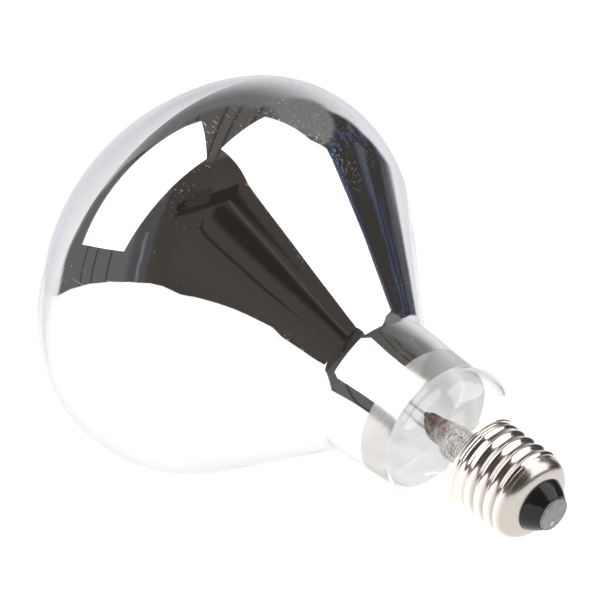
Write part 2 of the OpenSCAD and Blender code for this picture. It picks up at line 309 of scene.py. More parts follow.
class Look:
    """A material with one Principled shader and short calls that add nodes before it. A scale counts the
    features in one metre, and values are the shader's own sockets."""

    def __init__(self, name, **values):
        self.material = bpy.data.materials.new(name)
        self.material.use_nodes = True
        self.tree = self.material.node_tree
        self.shader = node_of(self.tree, "BSDF_PRINCIPLED")
        self.place = self.add("ShaderNodeTexCoord").outputs["Object"]
        for key, value in values.items():
            self.set(key.replace("_", " "), value)

    def add(self, kind, **links):
        node = self.tree.nodes.new(kind)
        for key, value in links.items():
            self.feed(node.inputs[key], value)
        return node

    def feed(self, socket, value):
        """Links a socket to another node's output, or gives it a number or colour."""
        if isinstance(value, bpy.types.NodeSocket):
            self.tree.links.new(value, socket)
        elif socket.type == "RGBA" and len(value) == 3:
            socket.default_value = (*value, 1.0)
        else:
            socket.default_value = value

    def set(self, key, value):
        self.feed(self.shader.inputs[key], value)

    def math(self, operation, a, b=0.0, c=0.0):
        node = self.tree.nodes.new("ShaderNodeMath")
        node.operation = operation
        for socket, value in zip(node.inputs, (a, b, c)):
            self.feed(socket, value)
        return node.outputs[0]

    def stretched(self, scale, turn=(0.0, 0.0, 0.0)):
        """The piece's own coordinates, scaled along each axis and then turned."""
        node = self.add("ShaderNodeMapping", Vector=self.place, Rotation=turn, Scale=scale)
        node.vector_type = "POINT"
        return node.outputs[0]

    def noise(self, scale, detail=3.0, vector=None):
        node = self.add("ShaderNodeTexNoise", Vector=vector or self.place, Scale=scale, Detail=detail)
        return node.outputs["Fac"]

    def cells(self, scale):
        """Distance to the middle of the nearest cell and a random number for each cell."""
        node = self.add("ShaderNodeTexVoronoi", Vector=self.place, Scale=scale)
        chance = self.add("ShaderNodeSeparateColor", Color=node.outputs["Color"]).outputs[0]
        return node.outputs["Distance"], chance

    def between(self, value, low, high, to_low=0.0, to_high=1.0):
        """The value taken smoothly from one range to another."""
        node = self.tree.nodes.new("ShaderNodeMapRange")
        node.interpolation_type = "SMOOTHSTEP"
        sockets = ("Value", "From Min", "From Max", "To Min", "To Max")
        for key, number in zip(sockets, (value, low, high, to_low, to_high)):
            self.feed(node.inputs[key], number)
        return node.outputs[0]

    def blend(self, share, a, b):
        """Colour a where the share is 0, and colour b where it is 1."""
        node = self.tree.nodes.new("ShaderNodeMix")
        node.data_type = "RGBA"
        colour_inputs = [s for s in node.inputs if s.type == "RGBA"]
        self.feed(node.inputs[0], share)
        self.feed(colour_inputs[0], a)
        self.feed(colour_inputs[1], b)
        return next(s for s in node.outputs if s.type == "RGBA")

    def tones(self, share, dark, light):
        """Base colour between two tones."""
        self.set("Base Color", self.blend(share, dark, light))

    def rough(self, grain, at_low, at_high, low=0.3, high=0.7):
        """Roughness that goes from at_low to at_high as the grain goes from low to high."""
        self.set("Roughness", self.between(grain, low, high, at_low, at_high))

    def bump(self, height, depth_mm):
        node = self.add("ShaderNodeBump", Height=height, Distance=depth_mm * MM, Strength=1.0)
        self.set("Normal", node.outputs["Normal"])

    def edge_on(self, low, high):
        """0 where the surface faces the viewer, 1 where it turns away; clear glass puts its painted edge shade
        there.
        """
        facing = self.add("ShaderNodeLayerWeight", Blend=0.5).outputs["Facing"]
        return self.between(facing, low, high)

    def axis_mm(self, axis):
        """One coordinate of the shaded point, in millimetres."""
        parts = self.add("ShaderNodeSeparateXYZ", Vector=self.place)
        return self.math("MULTIPLY", parts.outputs[axis], 1 / MM)

    def height(self):
        return self.axis_mm("Z")

    def from_axis(self):
        """Distance of the shaded point from the lamp's axis, in millimetres."""
        x, y = self.axis_mm("X"), self.axis_mm("Y")
        return self.math("SQRT", self.math("ADD", self.math("MULTIPLY", x, x), self.math("MULTIPLY", y, y)))


def clear_glass():
    """Clear glass, with painted shade that makes it a little grey in the lens and at grazing angles, where its
    outline shows against white.
    """
    look = Look("clear_glass", Transmission_Weight=1.0, IOR=1.5)
    # The lens grey and the edge grey are painted shade, not a tint of the glass.
    lens_painted_shade, edge_painted_shade = (0.86, 0.86, 0.87), (0.5, 0.5, 0.53)
    lens = look.between(look.height(), FILM_END_Z - 4, FILM_END_Z + 4, 1.0, 0.0)
    face = look.blend(lens, (0.985, 0.985, 0.985), lens_painted_shade)
    look.tones(look.edge_on(0.6, 1.0), face, edge_painted_shade)
    look.rough(look.noise(60, 4.0), at_low=0.0, at_high=0.02, low=0.45, high=0.75)
    look.bump(look.noise(30, 0.0), depth_mm=0.02)
    return look.material


def dust_and_scratches(look):
    """1 where the surface is covered with a dust speck or a fine scratch."""
    far, chance = look.cells(300)
    specks = look.math("LESS_THAN", far, look.between(chance, 0.6, 1.0, 0.0, 0.07))
    patchy = look.between(look.noise(26), 0.48, 0.64)
    marks = specks
    for turn in ((0.3, 0.1, 0.0), (1.1, 0.5, 0.9), (0.2, 1.2, 2.0)):
        streak = look.noise(1.0, 1.0, look.stretched((2200, 2200, 60), turn))
        scratch = look.math("MULTIPLY", look.between(streak, 0.71, 0.73), patchy)
        marks = look.math("MAXIMUM", marks, scratch)
    return marks


def blown_waves(look, depth_mm):
    """Long shallow waves of the blown glass that the mirror lies on."""
    look.bump(look.noise(38, 1.5), depth_mm)


def mirror_metal():
    """Bright aluminium with dust specks and fine scratches."""
    look = Look("mirror_film", Metallic=1.0)
    marks = dust_and_scratches(look)
    tone = look.blend(look.noise(30), (0.91, 0.905, 0.9), (0.94, 0.935, 0.93))
    look.tones(marks, tone, (0.97, 0.97, 0.97))
    look.set("Roughness", look.math("MULTIPLY_ADD", marks, 0.3, 0.012))
    blown_waves(look, depth_mm=0.03)
    return look.material


def mirror_inside():
    """Bare metal inside the bulb. Its faint glow stands for the light that the lens lets in."""
    look = Look("mirror_inside", Metallic=1.0, Emission_Color=WHITE, Emission_Strength=0.12)
    look.tones(look.noise(50), dark=(0.9, 0.9, 0.9), light=(0.96, 0.96, 0.96))
    look.rough(look.noise(80), at_low=0.2, at_high=0.3)
    blown_waves(look, depth_mm=0.02)
    return look.material


def mirror_haze():
    """Metal so thin that the white inside shows through it, with a few worn spots."""
    look = Look("mirror_haze", Metallic=1.0, Roughness=0.16)
    look.tones(look.noise(90), dark=(0.78, 0.745, 0.7), light=(0.86, 0.83, 0.79))
    worn = look.between(look.noise(230), 0.68, 0.72, 1.0, 0.35)
    cover = look.between(look.noise(60), 0.3, 0.7, 0.36, 0.48)
    look.set("Alpha", look.math("MULTIPLY", cover, worn))
    blown_waves(look, depth_mm=0.03)
    return look.material


def nickel_plate():
    """Bright warm plating with rolling marks round it, and painted shade at the root of the thread."""
    look = Look("nickel_plate", Metallic=1.0)
    raised = look.between(look.from_axis(), THREAD_ROOT_R - 0.1, THREAD_ROOT_R + 0.55)
    unshaded_plate = look.blend(look.noise(260, 5.0), (0.91, 0.845, 0.775), (0.98, 0.93, 0.87))
    # The dark colour at the root of the thread is painted shade; the plate's own tone is the lighter one.
    look.tones(raised, dark=(0.6, 0.56, 0.51), light=unshaded_plate)
    rolled = look.between(look.noise(1.0, 2.0, look.stretched((160, 160, 4200))), 0.35, 0.7, 0.1, 0.18)
    look.set("Roughness", look.math("ADD", rolled, look.between(raised, 0.0, 1.0, 0.12, 0.0)))
    look.bump(look.noise(210, 4.0), depth_mm=0.03)
    return look.material


def black_glass():
    look = Look("black_glass", Coat_Weight=0.15, Coat_Roughness=0.05, Specular_IOR_Level=0.3)
    look.tones(look.noise(300, 4.0), dark=(0.006, 0.006, 0.006), light=(0.014, 0.013, 0.012))
    look.rough(look.noise(420, 5.0), at_low=0.08, at_high=0.28, low=0.35, high=0.75)
    look.bump(look.noise(160, 2.0), depth_mm=0.06)
    return look.material


def contact_metal():
    """Dull grey metal with faint rings of turning and lighter worn blotches."""
    look = Look("contact_metal", Metallic=1.0)
    turned = look.math("SINE", look.math("MULTIPLY", look.from_axis(), 26.0))
    blotch = look.noise(420, 5.0)
    look.tones(blotch, dark=(0.2, 0.197, 0.194), light=(0.35, 0.346, 0.34))
    look.rough(blotch, at_low=0.52, at_high=0.34, high=0.75)
    look.bump(look.math("MULTIPLY_ADD", turned, 0.25, look.noise(700, 4.0)), depth_mm=0.02)
    return look.material


def solder_metal():
    look = Look("solder", Metallic=1.0)
    look.tones(look.noise(900, 4.0), dark=(0.36, 0.36, 0.36), light=(0.58, 0.58, 0.58))
    look.rough(look.noise(1200), at_low=0.16, at_high=0.4)
    look.bump(look.noise(1500), depth_mm=0.05)
    return look.material


def cement_paste():
    look = Look("basing_cement")
    look.tones(look.noise(900, 6.0), dark=(0.55, 0.5, 0.42), light=(0.76, 0.72, 0.63))
    look.rough(look.noise(500), at_low=0.8, at_high=0.95)
    look.bump(look.noise(2200, 6.0), depth_mm=0.15)
    return look.material


def stem_glass():
    """Flame-worked glass with fine ripples. Round the seal it is stained brown, and black at its tip."""
    look = Look("stem_glass", Transmission_Weight=1.0, IOR=1.52)
    look.rough(look.noise(180, 4.0), at_low=0.0, at_high=0.12, low=0.4, high=0.75)
    ragged = look.math("MULTIPLY_ADD", look.noise(420), 3.2, look.height())
    stain = look.between(ragged, PRESS_TOP_Z + 0.8, PRESS_TOP_Z + 2.8, 1.0, 0.0)
    flake = look.between(look.noise(900, 4.0), 0.38, 0.62)
    brown = look.blend(flake, (0.07, 0.035, 0.022), (0.42, 0.24, 0.16))
    tip = look.between(ragged, PRESS_END_Z + 2.4, PRESS_END_Z + 4.0, 1.0, 0.0)
    brown = look.blend(tip, brown, (0.035, 0.03, 0.028))
    look.tones(stain, (0.95, 0.955, 0.95), brown)
    opaque = look.math("MULTIPLY", stain, look.between(flake, 0.2, 0.8, 0.7, 0.2))
    look.set("Transmission Weight", look.math("SUBTRACT", 1.0, opaque))
    look.bump(look.math("MULTIPLY_ADD", look.noise(700), 0.8, look.noise(260, 2.0)), depth_mm=1.4)
    return look.material


def wire_metal(name, dark, light, smooth, rough, tip=None):
    """Drawn wire: a mottled metal, and darker where it leaves the glass if a tip height is given."""
    look = Look(name, Metallic=1.0)
    tone = look.blend(look.noise(700, 5.0), dark, light)
    if tip is not None:
        tone = look.blend(look.between(look.height(), tip - 0.4, tip + 1.4), (0.05, 0.035, 0.03), tone)
    look.set("Base Color", tone)
    look.rough(look.noise(1500, 4.0), smooth, rough)
    look.bump(look.noise(1.0, 2.0, look.stretched((3000, 3000, 400))), depth_mm=0.01)
    return look.material


def plain_finish(slot):
    """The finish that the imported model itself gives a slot: one flat colour, with no texture."""
    return bpy.data.materials[slot]


# ---------------------------------------------------------------------------------------------- pieces

def bulb_outline(inset):
    """Outline of the bulb moved inwards by inset, from the lens pole to the open end of the neck."""
    lens_offset = LENS_H - CORNER_R
    corner_axis = BULB_R - CORNER_R
    rise = (corner_axis ** 2 - lens_offset ** 2) / (2 * lens_offset)
    dome_end = math.atan2(-rise, corner_axis)
    bowl_axis = BULB_R - BOWL_R
    both_r = BOWL_R + BOWL_FILLET_R
    straight = (bowl_axis + both_r * math.cos(BOWL_SLOPE) - NECK_R - BOWL_FILLET_R) / math.sin(BOWL_SLOPE)
    neck_z = RING_Z + both_r * math.sin(BOWL_SLOPE) + straight * math.cos(BOWL_SLOPE)
    shoulder_axis = SHOULDER_MAX_R - SHOULDER_R
    collar_r = SHOULDER_R + COLLAR_FILLET_R
    rest = shoulder_axis + collar_r * math.cos(SHOULDER_TURN) - SEAL_R - COLLAR_FILLET_R
    slant = rest / math.sin(SHOULDER_TURN)
    collar_z = SHOULDER_Z + collar_r * math.sin(SHOULDER_TURN) + slant * math.cos(SHOULDER_TURN)

    def swell(r0, z0, r1, z1, n):
        """Points between two radii, with no slope at either end."""
        t = np.linspace(0, 1, n + 1)[1:-1]
        return [(r0 - inset + (r1 - r0) * e, z0 + (z1 - z0) * u) for e, u in zip(ease(t), t)]

    def fillet(centre, r, turn, steps):
        """Hollow round between a slope and a wall that runs along the axis."""
        return arc(centre, r + inset, HALF_TURN + turn, HALF_TURN, steps)

    points = arc((0.0, RING_Z + rise), rise + LENS_H - inset, -QUARTER_TURN, dome_end, 40)
    points[0] = (0.0, points[0][1])
    points += arc((corner_axis, RING_Z), CORNER_R - inset, dome_end, 0.0, 32)[1:]
    points += arc((bowl_axis, RING_Z), BOWL_R - inset, 0.0, BOWL_SLOPE, 32)[1:]
    into_neck = fillet((NECK_R + BOWL_FILLET_R, neck_z), BOWL_FILLET_R, BOWL_SLOPE, 20)
    cone_start = np.array(points[-1])
    for t in np.linspace(0, 1, 17)[1:-1]:
        points.append(tuple(cone_start + t * (np.array(into_neck[0]) - cone_start)))
    points += into_neck
    points += swell(NECK_R, neck_z, WAIST_R, WAIST_Z, 28) + [(WAIST_R - inset, WAIST_Z)]
    points += swell(WAIST_R, WAIST_Z, SHOULDER_MAX_R, SHOULDER_Z, 12)
    points += arc((shoulder_axis, SHOULDER_Z), SHOULDER_R - inset, 0.0, SHOULDER_TURN, 20)
    points += fillet((SEAL_R + COLLAR_FILLET_R, collar_z), COLLAR_FILLET_R, SHOULDER_TURN, 8)
    return points + [(SEAL_R - inset, SEAL_END_Z)]


def cut_at(outline, z):
    """Adds the point of the outline at height z, so that an edge can lie there."""
    for i, (a, b) in enumerate(zip(outline, outline[1:])):
        if a[1] < z < b[1]:
            t = (z - a[1]) / (b[1] - a[1])
            return outline[:i + 1] + [(a[0] + t * (b[0] - a[0]), z)] + outline[i + 1:]
    return outline


def bulb_layer(inset, low, high):
    """The bulb's outline moved inwards, between two heights and with a point at each."""
    outline = cut_at(cut_at(bulb_outline(inset), low), high)
    return [p for p in outline if low - TINY <= p[1] <= high + TINY]


def make_envelope():
    outline = bulb_outline(0.0) + bulb_outline(GLASS_T)[::-1]
    piece = revolved("bulb_glass", outline, GLASS_SIDES, loop=False)
    piece.visible_shadow = False
    place(piece, "bulb_glass", [clear_glass()], "glass_envelope")


def make_film():
    """The mirror is bonded to the glass, so its outer face lies just inside the glass's inner skin."""
    outer = bulb_layer(GLASS_T - BOND, FILM_END_Z, FILM_TOP_Z)
    inner = bulb_layer(GLASS_T + FILM_T, FILM_END_Z, FILM_TOP_Z)
    behind_glass, inside = 0, 1
    bands = [behind_glass] * len(outer) + [inside] * (len(inner) - 1) + [behind_glass]
    piece = revolved("mirror_film", outer + inner[::-1], GLASS_SIDES, band_materials=bands)
    place(piece, "mirror_film", [mirror_metal(), mirror_inside()], "reflector_film")


def make_haze():
    """The translucent end of the mirror, buried in the inner skin of the glass."""
    outer = bulb_layer(GLASS_T - 2 * BOND, FILM_TOP_Z, HAZE_TOP_Z)
    inner = bulb_layer(GLASS_T - BOND, FILM_TOP_Z, HAZE_TOP_Z)
    piece = revolved("mirror_haze", outer + inner[::-1], HAZE_SIDES)
    piece.visible_shadow = False
    place(piece, "mirror_film", [mirror_haze()])


def thread_radius(z, az):
    """Radius of the rolled thread: it swings between root and crest once a turn and once a pitch."""
    fade_l = THREAD_PITCH / 3
    fade = ease(np.clip((THREAD_START_Z - z) / fade_l, 0, 1))
    fade = fade * ease(np.clip((z - THREAD_END_Z) / fade_l, 0, 1))
    wave = (THREAD_CREST_R - THREAD_ROOT_R) / 2
    return THREAD_MIDDLE_R + wave * fade * np.cos(FULL_TURN * z / THREAD_PITCH - az + THREAD_PHASE)


def shell_face(inset):
    """Rings of one face of the rolled sheet: rounded end, thread, bead, plain wall and turned-out rim."""
    az = azimuths(SHELL_SIDES)
    round_r = ROUND_R - inset
    wall_r = THREAD_MIDDLE_R - inset
    bead_top = THREAD_END_Z - 0.5
    rows = [(OPENING_R + round_r * math.sin(a), THREAD_START_Z + round_r * math.cos(a))
            for a in np.linspace(0, math.radians(84), 14)]
    rows += [(thread_radius(z, az) - inset, z) for z in np.linspace(THREAD_START_Z, THREAD_END_Z, 110)]
    rows += [(wall_r + (BEAD_R - THREAD_MIDDLE_R) * math.sin(a) ** 2, bead_top - BEAD_L * a / math.pi)
             for a in np.linspace(0, math.pi, 14)]
    rows += [(wall_r, bead_top - BEAD_L / 2 - 1.45)]
    rows += [(wall_r + (RIM_R - THREAD_MIDDLE_R) * ease(t), RIM_Z + RIM_L * (1 - t))
             for t in np.linspace(0.1, 1, 8)]
    return [ring(r, z, SHELL_SIDES) for r, z in rows]


def make_screw_shell():
    piece = skin("screw_shell_rolled", shell_face(0.0) + shell_face(SHELL_T)[::-1], loop=True)
    place(piece, "nickel_shell", [nickel_plate()], "screw_shell")


def make_insulator():
    """Slightly crowned cone of glass. It is held in the shell's opening and widens behind it."""
    tip_r = 5.4
    soft = 0.35
    crown = 0.22
    collar_r = OPENING_R - FIT_GAP
    foot_r = INSULATOR[1][0] - 0.3
    low_z, top_z = INSULATOR[0][2], INSULATOR[1][2]
    under_z = SHELL_TOP_Z - SHELL_T
    slope = math.atan2(top_z - SHELL_TOP_Z, collar_r - tip_r)
    outline = [(0.0, top_z)]
    outline += arc((tip_r - soft, top_z - soft), soft, QUARTER_TURN, QUARTER_TURN - slope, 5)
    start = np.array(outline[-1])
    end = np.array((collar_r, SHELL_TOP_Z + 0.25))
    out = np.array((math.sin(slope), math.cos(slope)))
    for t in np.linspace(0, 1, 9)[1:]:
        outline.append(tuple(start + t * (end - start) + out * crown * math.sin(math.pi * t)))
    outline += [(collar_r, under_z - FIT_GAP), (collar_r + 0.6, under_z - 0.2)]
    outline += [(foot_r, THREAD_START_Z + 0.8), (foot_r, low_z), (0.0, low_z)]
    place(revolved("insulator_glass", outline, 128, loop=False), "black_glass", [black_glass()], "insulator")


def make_contact():
    """Stamped disc with a rounded edge and a faint dish."""
    r = CONTACT[1][0]
    t = CONTACT[1][2] - CONTACT[0][2]
    soft = 0.22
    outline = [(0.0, -0.06), (r * 0.45, -0.04), (r * 0.8, 0.0)]
    outline += arc((r - soft, -soft), soft, QUARTER_TURN, 0.0, 5)
    outline += [(r, -t), (0.0, -t)]
    piece = revolved("contact_disc", outline, 96, loop=False)
    place(piece, "contact_metal", [contact_metal()], "centre_contact")


def blob(name, centre, out, r, height):
    """Drop of solder on a face, with the given way out of it. Its outline wavers a little."""
    sides = 28
    rows = 7
    wobble = 0.07
    out = np.array(out, float)
    side = np.cross(out, (0.2, 0.3, 0.9) if abs(out[2]) < 0.9 else (1.0, 0.0, 0.0))
    side /= np.linalg.norm(side)
    over = np.cross(out, side)
    turn = azimuths(sides)
    waver = 1 + wobble * (np.sin(3 * turn + 0.7) + 0.6 * np.sin(5 * turn + 2.1))
    rings = [np.array([centre - out * height * 0.3])]
    for i in range(rows):
        a = i / rows * math.pi / 2
        reach = r * math.cos(a) * (1 + (waver - 1) * math.cos(a))
        rings.append(round_section(centre + out * height * math.sin(a), side, over, reach, sides))
    rings.append(np.array([centre + out * height]))
    return skin(name, rings)


def make_solders():
    """The solder on the contact has its own texture. The one on the rim keeps its slot's plain finish."""
    low, high = SOLDER
    middle = (low + high) / 2
    centre = np.array((middle[0], middle[1], -0.1))
    top = blob("contact_solder_point", centre, (0, 0, 1), (high[0] - low[0]) / 2, 0.16)
    place(top, "solder", [solder_metal()], "contact_solder")
    low, high = RIM_SOLDER
    z = (low[2] + high[2]) / 2
    side = blob("rim_solder_joint", polar(RIM_R - 0.5, STEM_AZ, z), polar(1, STEM_AZ, 0), 1.55, 1.2)
    place(side, "solder", [plain_finish("solder")], "rim_solder")


def make_cement():
    outer = CEMENT[1][0]
    top, low = CEMENT[1][2], CEMENT[0][2]
    inner = SEAL_R + 0.02
    outline = [(inner, top), (outer - 0.3, top), (outer, top - 0.3), (outer, low + 0.2)]
    outline += [(outer - 0.2, low + 0.02), ((inner + outer) / 2, low + 0.25), (inner, low + 0.05)]
    place(revolved("cement_ring", outline, 96), "cement", [cement_paste()], "basing_cement")


def crinkled_trumpet(inset, depth):
    """Rings from the sealed skirt to the stem's tube, with ripples of a given depth below the skirt."""
    az = azimuths(STEM_SIDES)
    flare_end = math.acos((TRUMPET_R + STEM_R - SKIRT_R) / TRUMPET_R)
    grown_r = TRUMPET_R + inset
    line = [(SKIRT_R - inset, STEM_TOP_Z), (SKIRT_R - inset, STEM_TOP_Z - SKIRT_L)]
    line += [(STEM_R + TRUMPET_R - grown_r * math.cos(a), TRUMPET_Z + grown_r * math.sin(a))
             for a in np.linspace(flare_end, 0, 24)]
    rings = []
    for r, z in line:
        fade = ease(np.clip((STEM_TOP_Z - SKIRT_L - z) / 5, 0, 1))
        fade = fade * ease(np.clip((z - PRESS_TOP_Z) / 6, 0, 1))
        ripple = 0.28 * np.sin(5 * az + 0.35 * z) + 0.2 * np.sin(9 * az - 0.5 * z + 1.3)
        ripple += 0.16 * np.sin(0.9 * z + 2 * az)
        rings.append(ring(r + fade * ripple * depth, z, STEM_SIDES))
    return rings


def press_section(z, half_w, half_t, power):
    """Rounded flat ring of the press. Power 2 is an ellipse, and more is squarer."""
    az = azimuths(STEM_SIDES)
    c, s = np.cos(az - STEM_AZ), np.sin(az - STEM_AZ)
    reach = (np.abs(c / half_w) ** power + np.abs(s / half_t) ** power) ** (-1 / power)
    return ring(reach, z, STEM_SIDES)


def press_rings():
    """The tube going flat, and then the press narrowing to its end."""
    half_w, half_t = PRESS_W / 2, PRESS_T / 2
    rings = []
    for t in np.linspace(0, 1, 12)[1:]:
        z = TRUMPET_Z + (PRESS_START_Z - TRUMPET_Z) * t
        flat = ease(np.clip((t - 0.45) / 0.55, 0, 1))
        wide = STEM_R + (half_w - STEM_R) * flat
        thick = STEM_R + (half_t - STEM_R) * flat
        rings.append(press_section(z, wide, thick, 2 + (PRESS_POWER - 2) * flat))
    for t in np.linspace(0, 1, 9)[1:]:
        z = PRESS_START_Z + (PRESS_END_Z - PRESS_START_Z) * t
        tuck = math.sqrt(1 - (max(0.0, t - 0.3) / 0.7) ** 2 * 0.8)
        waist = 1 - 0.08 * math.sin(math.pi * t)
        rings.append(press_section(z, half_w * tuck, half_t * tuck * waist, PRESS_POWER))
    return rings + [ring(0.0, PRESS_END_Z, STEM_SIDES)]


def bore_end_rings():
    """The bore of the stem's tube below the trumpet, with its round end."""
    r = STEM_R - STEM_T
    end_l = 3
    round_z = LEAD_FOOT_Z + end_l
    rings = [ring(r, TRUMPET_Z + (round_z - TRUMPET_Z) * t, STEM_SIDES) for t in (0.3, 0.6, 1.0)]
    for a in np.radians((25, 50, 72)):
        rings.append(ring(r * math.cos(a), round_z - end_l * math.sin(a), STEM_SIDES))
    return rings + [ring(0.0, LEAD_FOOT_Z, STEM_SIDES)]


def make_stem():
    """Trumpet-shaped glass tube whose end is squeezed flat round the two seal wires."""
    outside = crinkled_trumpet(0.0, 1.0) + press_rings()
    bore = crinkled_trumpet(STEM_T, 0.7) + bore_end_rings()
    piece = skin("stem_glass", bore[::-1] + outside)
    piece.visible_shadow = False
    place(piece, "stem_glass", [stem_glass()], "stem_flare")


def make_exhaust():
    """Glass tube with a round sealed end. It keeps the plain finish of its slot."""
    r = EXHAUST[1][0]
    low, high = EXHAUST[0][2], EXHAUST[1][2]
    bore = r - 0.45
    outline = arc((0.0, high - r), r, QUARTER_TURN, 0.0, 10)
    outline[0] = (0.0, high)
    outline += [(r, low), (bore, low), (bore, high - r - 0.4)]
    outline += [(bore * 0.6, high - r + 0.1), (0.0, high - r + 0.35)]
    piece = revolved("exhaust_tube_glass", outline, 48, loop=False)
    place(piece, "stem_glass", [plain_finish("stem_glass")], "exhaust_tube")


def make_cane():
    """Glass rod that ends in a round button. It keeps the plain finish of its slot."""
    low, top = CANE[0][2], CANE[1][2]
    neck = math.asin(CANE_R / BUTTON_R)
    outline = [(0.0, top), (CANE_R, top)]
    outline += [(CANE_R, z) for z in np.linspace(top, BUTTON_Z + BUTTON_R, 12)[1:-1]]
    outline += arc((0.0, BUTTON_Z), BUTTON_R, QUARTER_TURN - neck, -QUARTER_TURN, 24)
    outline[-1] = (0.0, low)
    piece = revolved("cane_and_button", outline, 48, loop=False)
    place(piece, "stem_glass", [plain_finish("stem_glass")], "support_cane")


def make_seals_and_inner_leads():
    """Each seal wire runs through the press, and a nickel lead goes on from it to one end of the filament."""
    copper = wire_metal("copper_seal", (0.16, 0.075, 0.045), (0.5, 0.28, 0.19), smooth=0.25, rough=0.5,
                        tip=PRESS_END_Z)
    nickel = wire_metal("nickel_lead", (0.42, 0.41, 0.39), (0.62, 0.6, 0.57), smooth=0.22, rough=0.45)
    reach = RING_R + COIL_R + FILAMENT_WIRE_R + INNER_LEAD_R + FIT_GAP
    for side, letter, end_az in ((1, "a", RING_START + RING_SWEEP), (-1, "b", RING_START)):
        foot = polar(side * SEAL_PITCH / 2, STEM_AZ, 0)
        along = np.linspace(LEAD_FOOT_Z, PRESS_END_Z, 40)
        lumpy = SEAL_WIRE_R * (1.35 + 0.25 * np.sin(3.1 * along) + 0.15 * np.sin(7.3 * along + side))
        piece = swept("dumet_wire_" + letter, [foot + (0, 0, z) for z in along], lumpy, 20)
        place(piece, "copper_seal", [copper], "dumet_seal_" + letter)
        points = [foot + (0, 0, PRESS_END_Z), foot + (0, 0, PRESS_END_Z - SEAL_PITCH)]
        points += [polar(reach, end_az, z) for z in (FILAMENT_Z + 2 * COIL_R, FILAMENT_Z - COIL_R)]
        piece = swept("nickel_lead_" + letter, smooth_path(points, 1.8), INNER_LEAD_R, 16)
        place(piece, "nickel_lead", [nickel], "inner_lead_" + letter)


def make_outer_leads():
    """One wire goes from the press over the seal to the rim, and one through the insulator to the contact."""
    copper = wire_metal("copper_lead", (0.5, 0.24, 0.13), (0.72, 0.42, 0.3), smooth=0.25, rough=0.5)
    run_r = SEAL_R + OUTER_LEAD_R + FIT_GAP
    over_z = SEAL_END_Z + 4 * OUTER_LEAD_R
    under_z = RIM_Z - 2 * OUTER_LEAD_R
    start = polar(SEAL_PITCH / 2, STEM_AZ, 0)
    to_rim = [start + (0, 0, LEAD_FOOT_Z), start + (0, 0, over_z), polar(run_r, STEM_AZ, over_z)]
    to_rim += [polar(run_r, STEM_AZ, under_z), polar(RIM_R, STEM_AZ, under_z)]
    start = polar(-SEAL_PITCH / 2, STEM_AZ, 0)
    end = (SOLDER[0] + SOLDER[1]) / 2
    to_contact = [start + (0, 0, LEAD_FOOT_Z), start + (0, 0, SEAL_END_Z)]
    to_contact += [(end[0], end[1], INSULATOR[0][2] - 2), (end[0], end[1], SOLDER[0][2])]
    for name, points in (("side", to_rim), ("centre", to_contact)):
        piece = swept(name + "_lead", smooth_path(points, 0.5), OUTER_LEAD_R, 10)
        place(piece, "copper_lead", [copper], "outer_lead_" + name)


def make_filament():
    """Coil bent into an open ring."""
    steps = COIL_TURNS * COIL_STEPS
    path = []
    for i in range(steps + 1):
        az = RING_START + RING_SWEEP * i / steps
        turn = FULL_TURN * i / COIL_STEPS
        path.append(polar(RING_R + COIL_R * math.cos(turn), az, FILAMENT_Z - COIL_R * math.sin(turn)))
    tungsten = wire_metal("tungsten", (0.2, 0.2, 0.21), (0.42, 0.42, 0.44), smooth=0.3, rough=0.55)
    place(swept("filament_coil", path, FILAMENT_WIRE_R, 8), "tungsten", [tungsten], "filament")


def make_supports():
    """Straight wires out of the button, each with a loop round the filament at its end."""
    metal = wire_metal("molybdenum", (0.36, 0.36, 0.38), (0.58, 0.58, 0.6), smooth=0.25, rough=0.45)
    loop_r = COIL_R + FILAMENT_WIRE_R + SUPPORT_WIRE_R + FIT_GAP
    loop_start, loop_sweep = 135, 340
    for k in range(SUPPORT_COUNT):
        az = RING_START + RING_SWEEP * (k + 0.5) / SUPPORT_COUNT
        loop = []
        for turn in np.linspace(math.radians(loop_start), math.radians(loop_start + loop_sweep), 30):
            loop.append(polar(RING_R + loop_r * math.cos(turn), az, FILAMENT_Z + loop_r * math.sin(turn)))
        root = polar(BUTTON_R / 2, az, BUTTON_Z)
        arm = [root + (loop[0] - root) * t for t in np.linspace(0, 1, 10)[:-1]]
        piece = swept("hook_" + str(k + 1), arm + loop, SUPPORT_WIRE_R, 10)
        place(piece, "support_metal", [metal], "support_wire_" + str(k + 1))


# ---------------------------------------------------------------------------------------------- studio

def card(name, centre, side, up, corners, material):
    """Flat stage object. Its corners are given in metres along side and up from its centre."""
    mesh = bpy.data.meshes.new(name)
    points = [tuple(Vector(centre) + side * x + up * y) for x, y in corners]
    mesh.from_pydata(points, [], [tuple(range(len(points)))])
    mesh.materials.append(material)
    made = add_object(name, mesh)
    return made


def facing(aim, spin):
    """Side and up directions of a card that looks along aim, with its up turned about aim."""
    aim = Vector(aim).normalized()
    up = (Vector((0, 0, 1)) - aim * aim.z).normalized()
    up.rotate(Matrix.Rotation(math.radians(spin), 3, aim))
    return aim.cross(up), up


def split_rays(tree, direct, mirrored, clear_from_below=False):
    """Shows one shader to rays that no surface has mirrored, and the other to the rest. None is clear."""
    mirrors = tree.nodes.new("ShaderNodeLightPath").outputs["Glossy Depth"]
    if clear_from_below:
        either = tree.nodes.new("ShaderNodeMath")
        either.operation = "MAXIMUM"
        tree.links.new(mirrors, either.inputs[0])
        tree.links.new(tree.nodes.new("ShaderNodeNewGeometry").outputs["Backfacing"], either.inputs[1])
        mirrors = either.outputs[0]
    clear = tree.nodes.new("ShaderNodeBsdfTransparent")
    mix = tree.nodes.new("ShaderNodeMixShader")
    tree.links.new(mirrors, mix.inputs[0])
    tree.links.new((direct or clear).outputs[0], mix.inputs[1])
    tree.links.new((mirrored or clear).outputs[0], mix.inputs[2])
    tree.links.new(mix.outputs[0], node_of(tree, "OUTPUT_MATERIAL").inputs["Surface"])


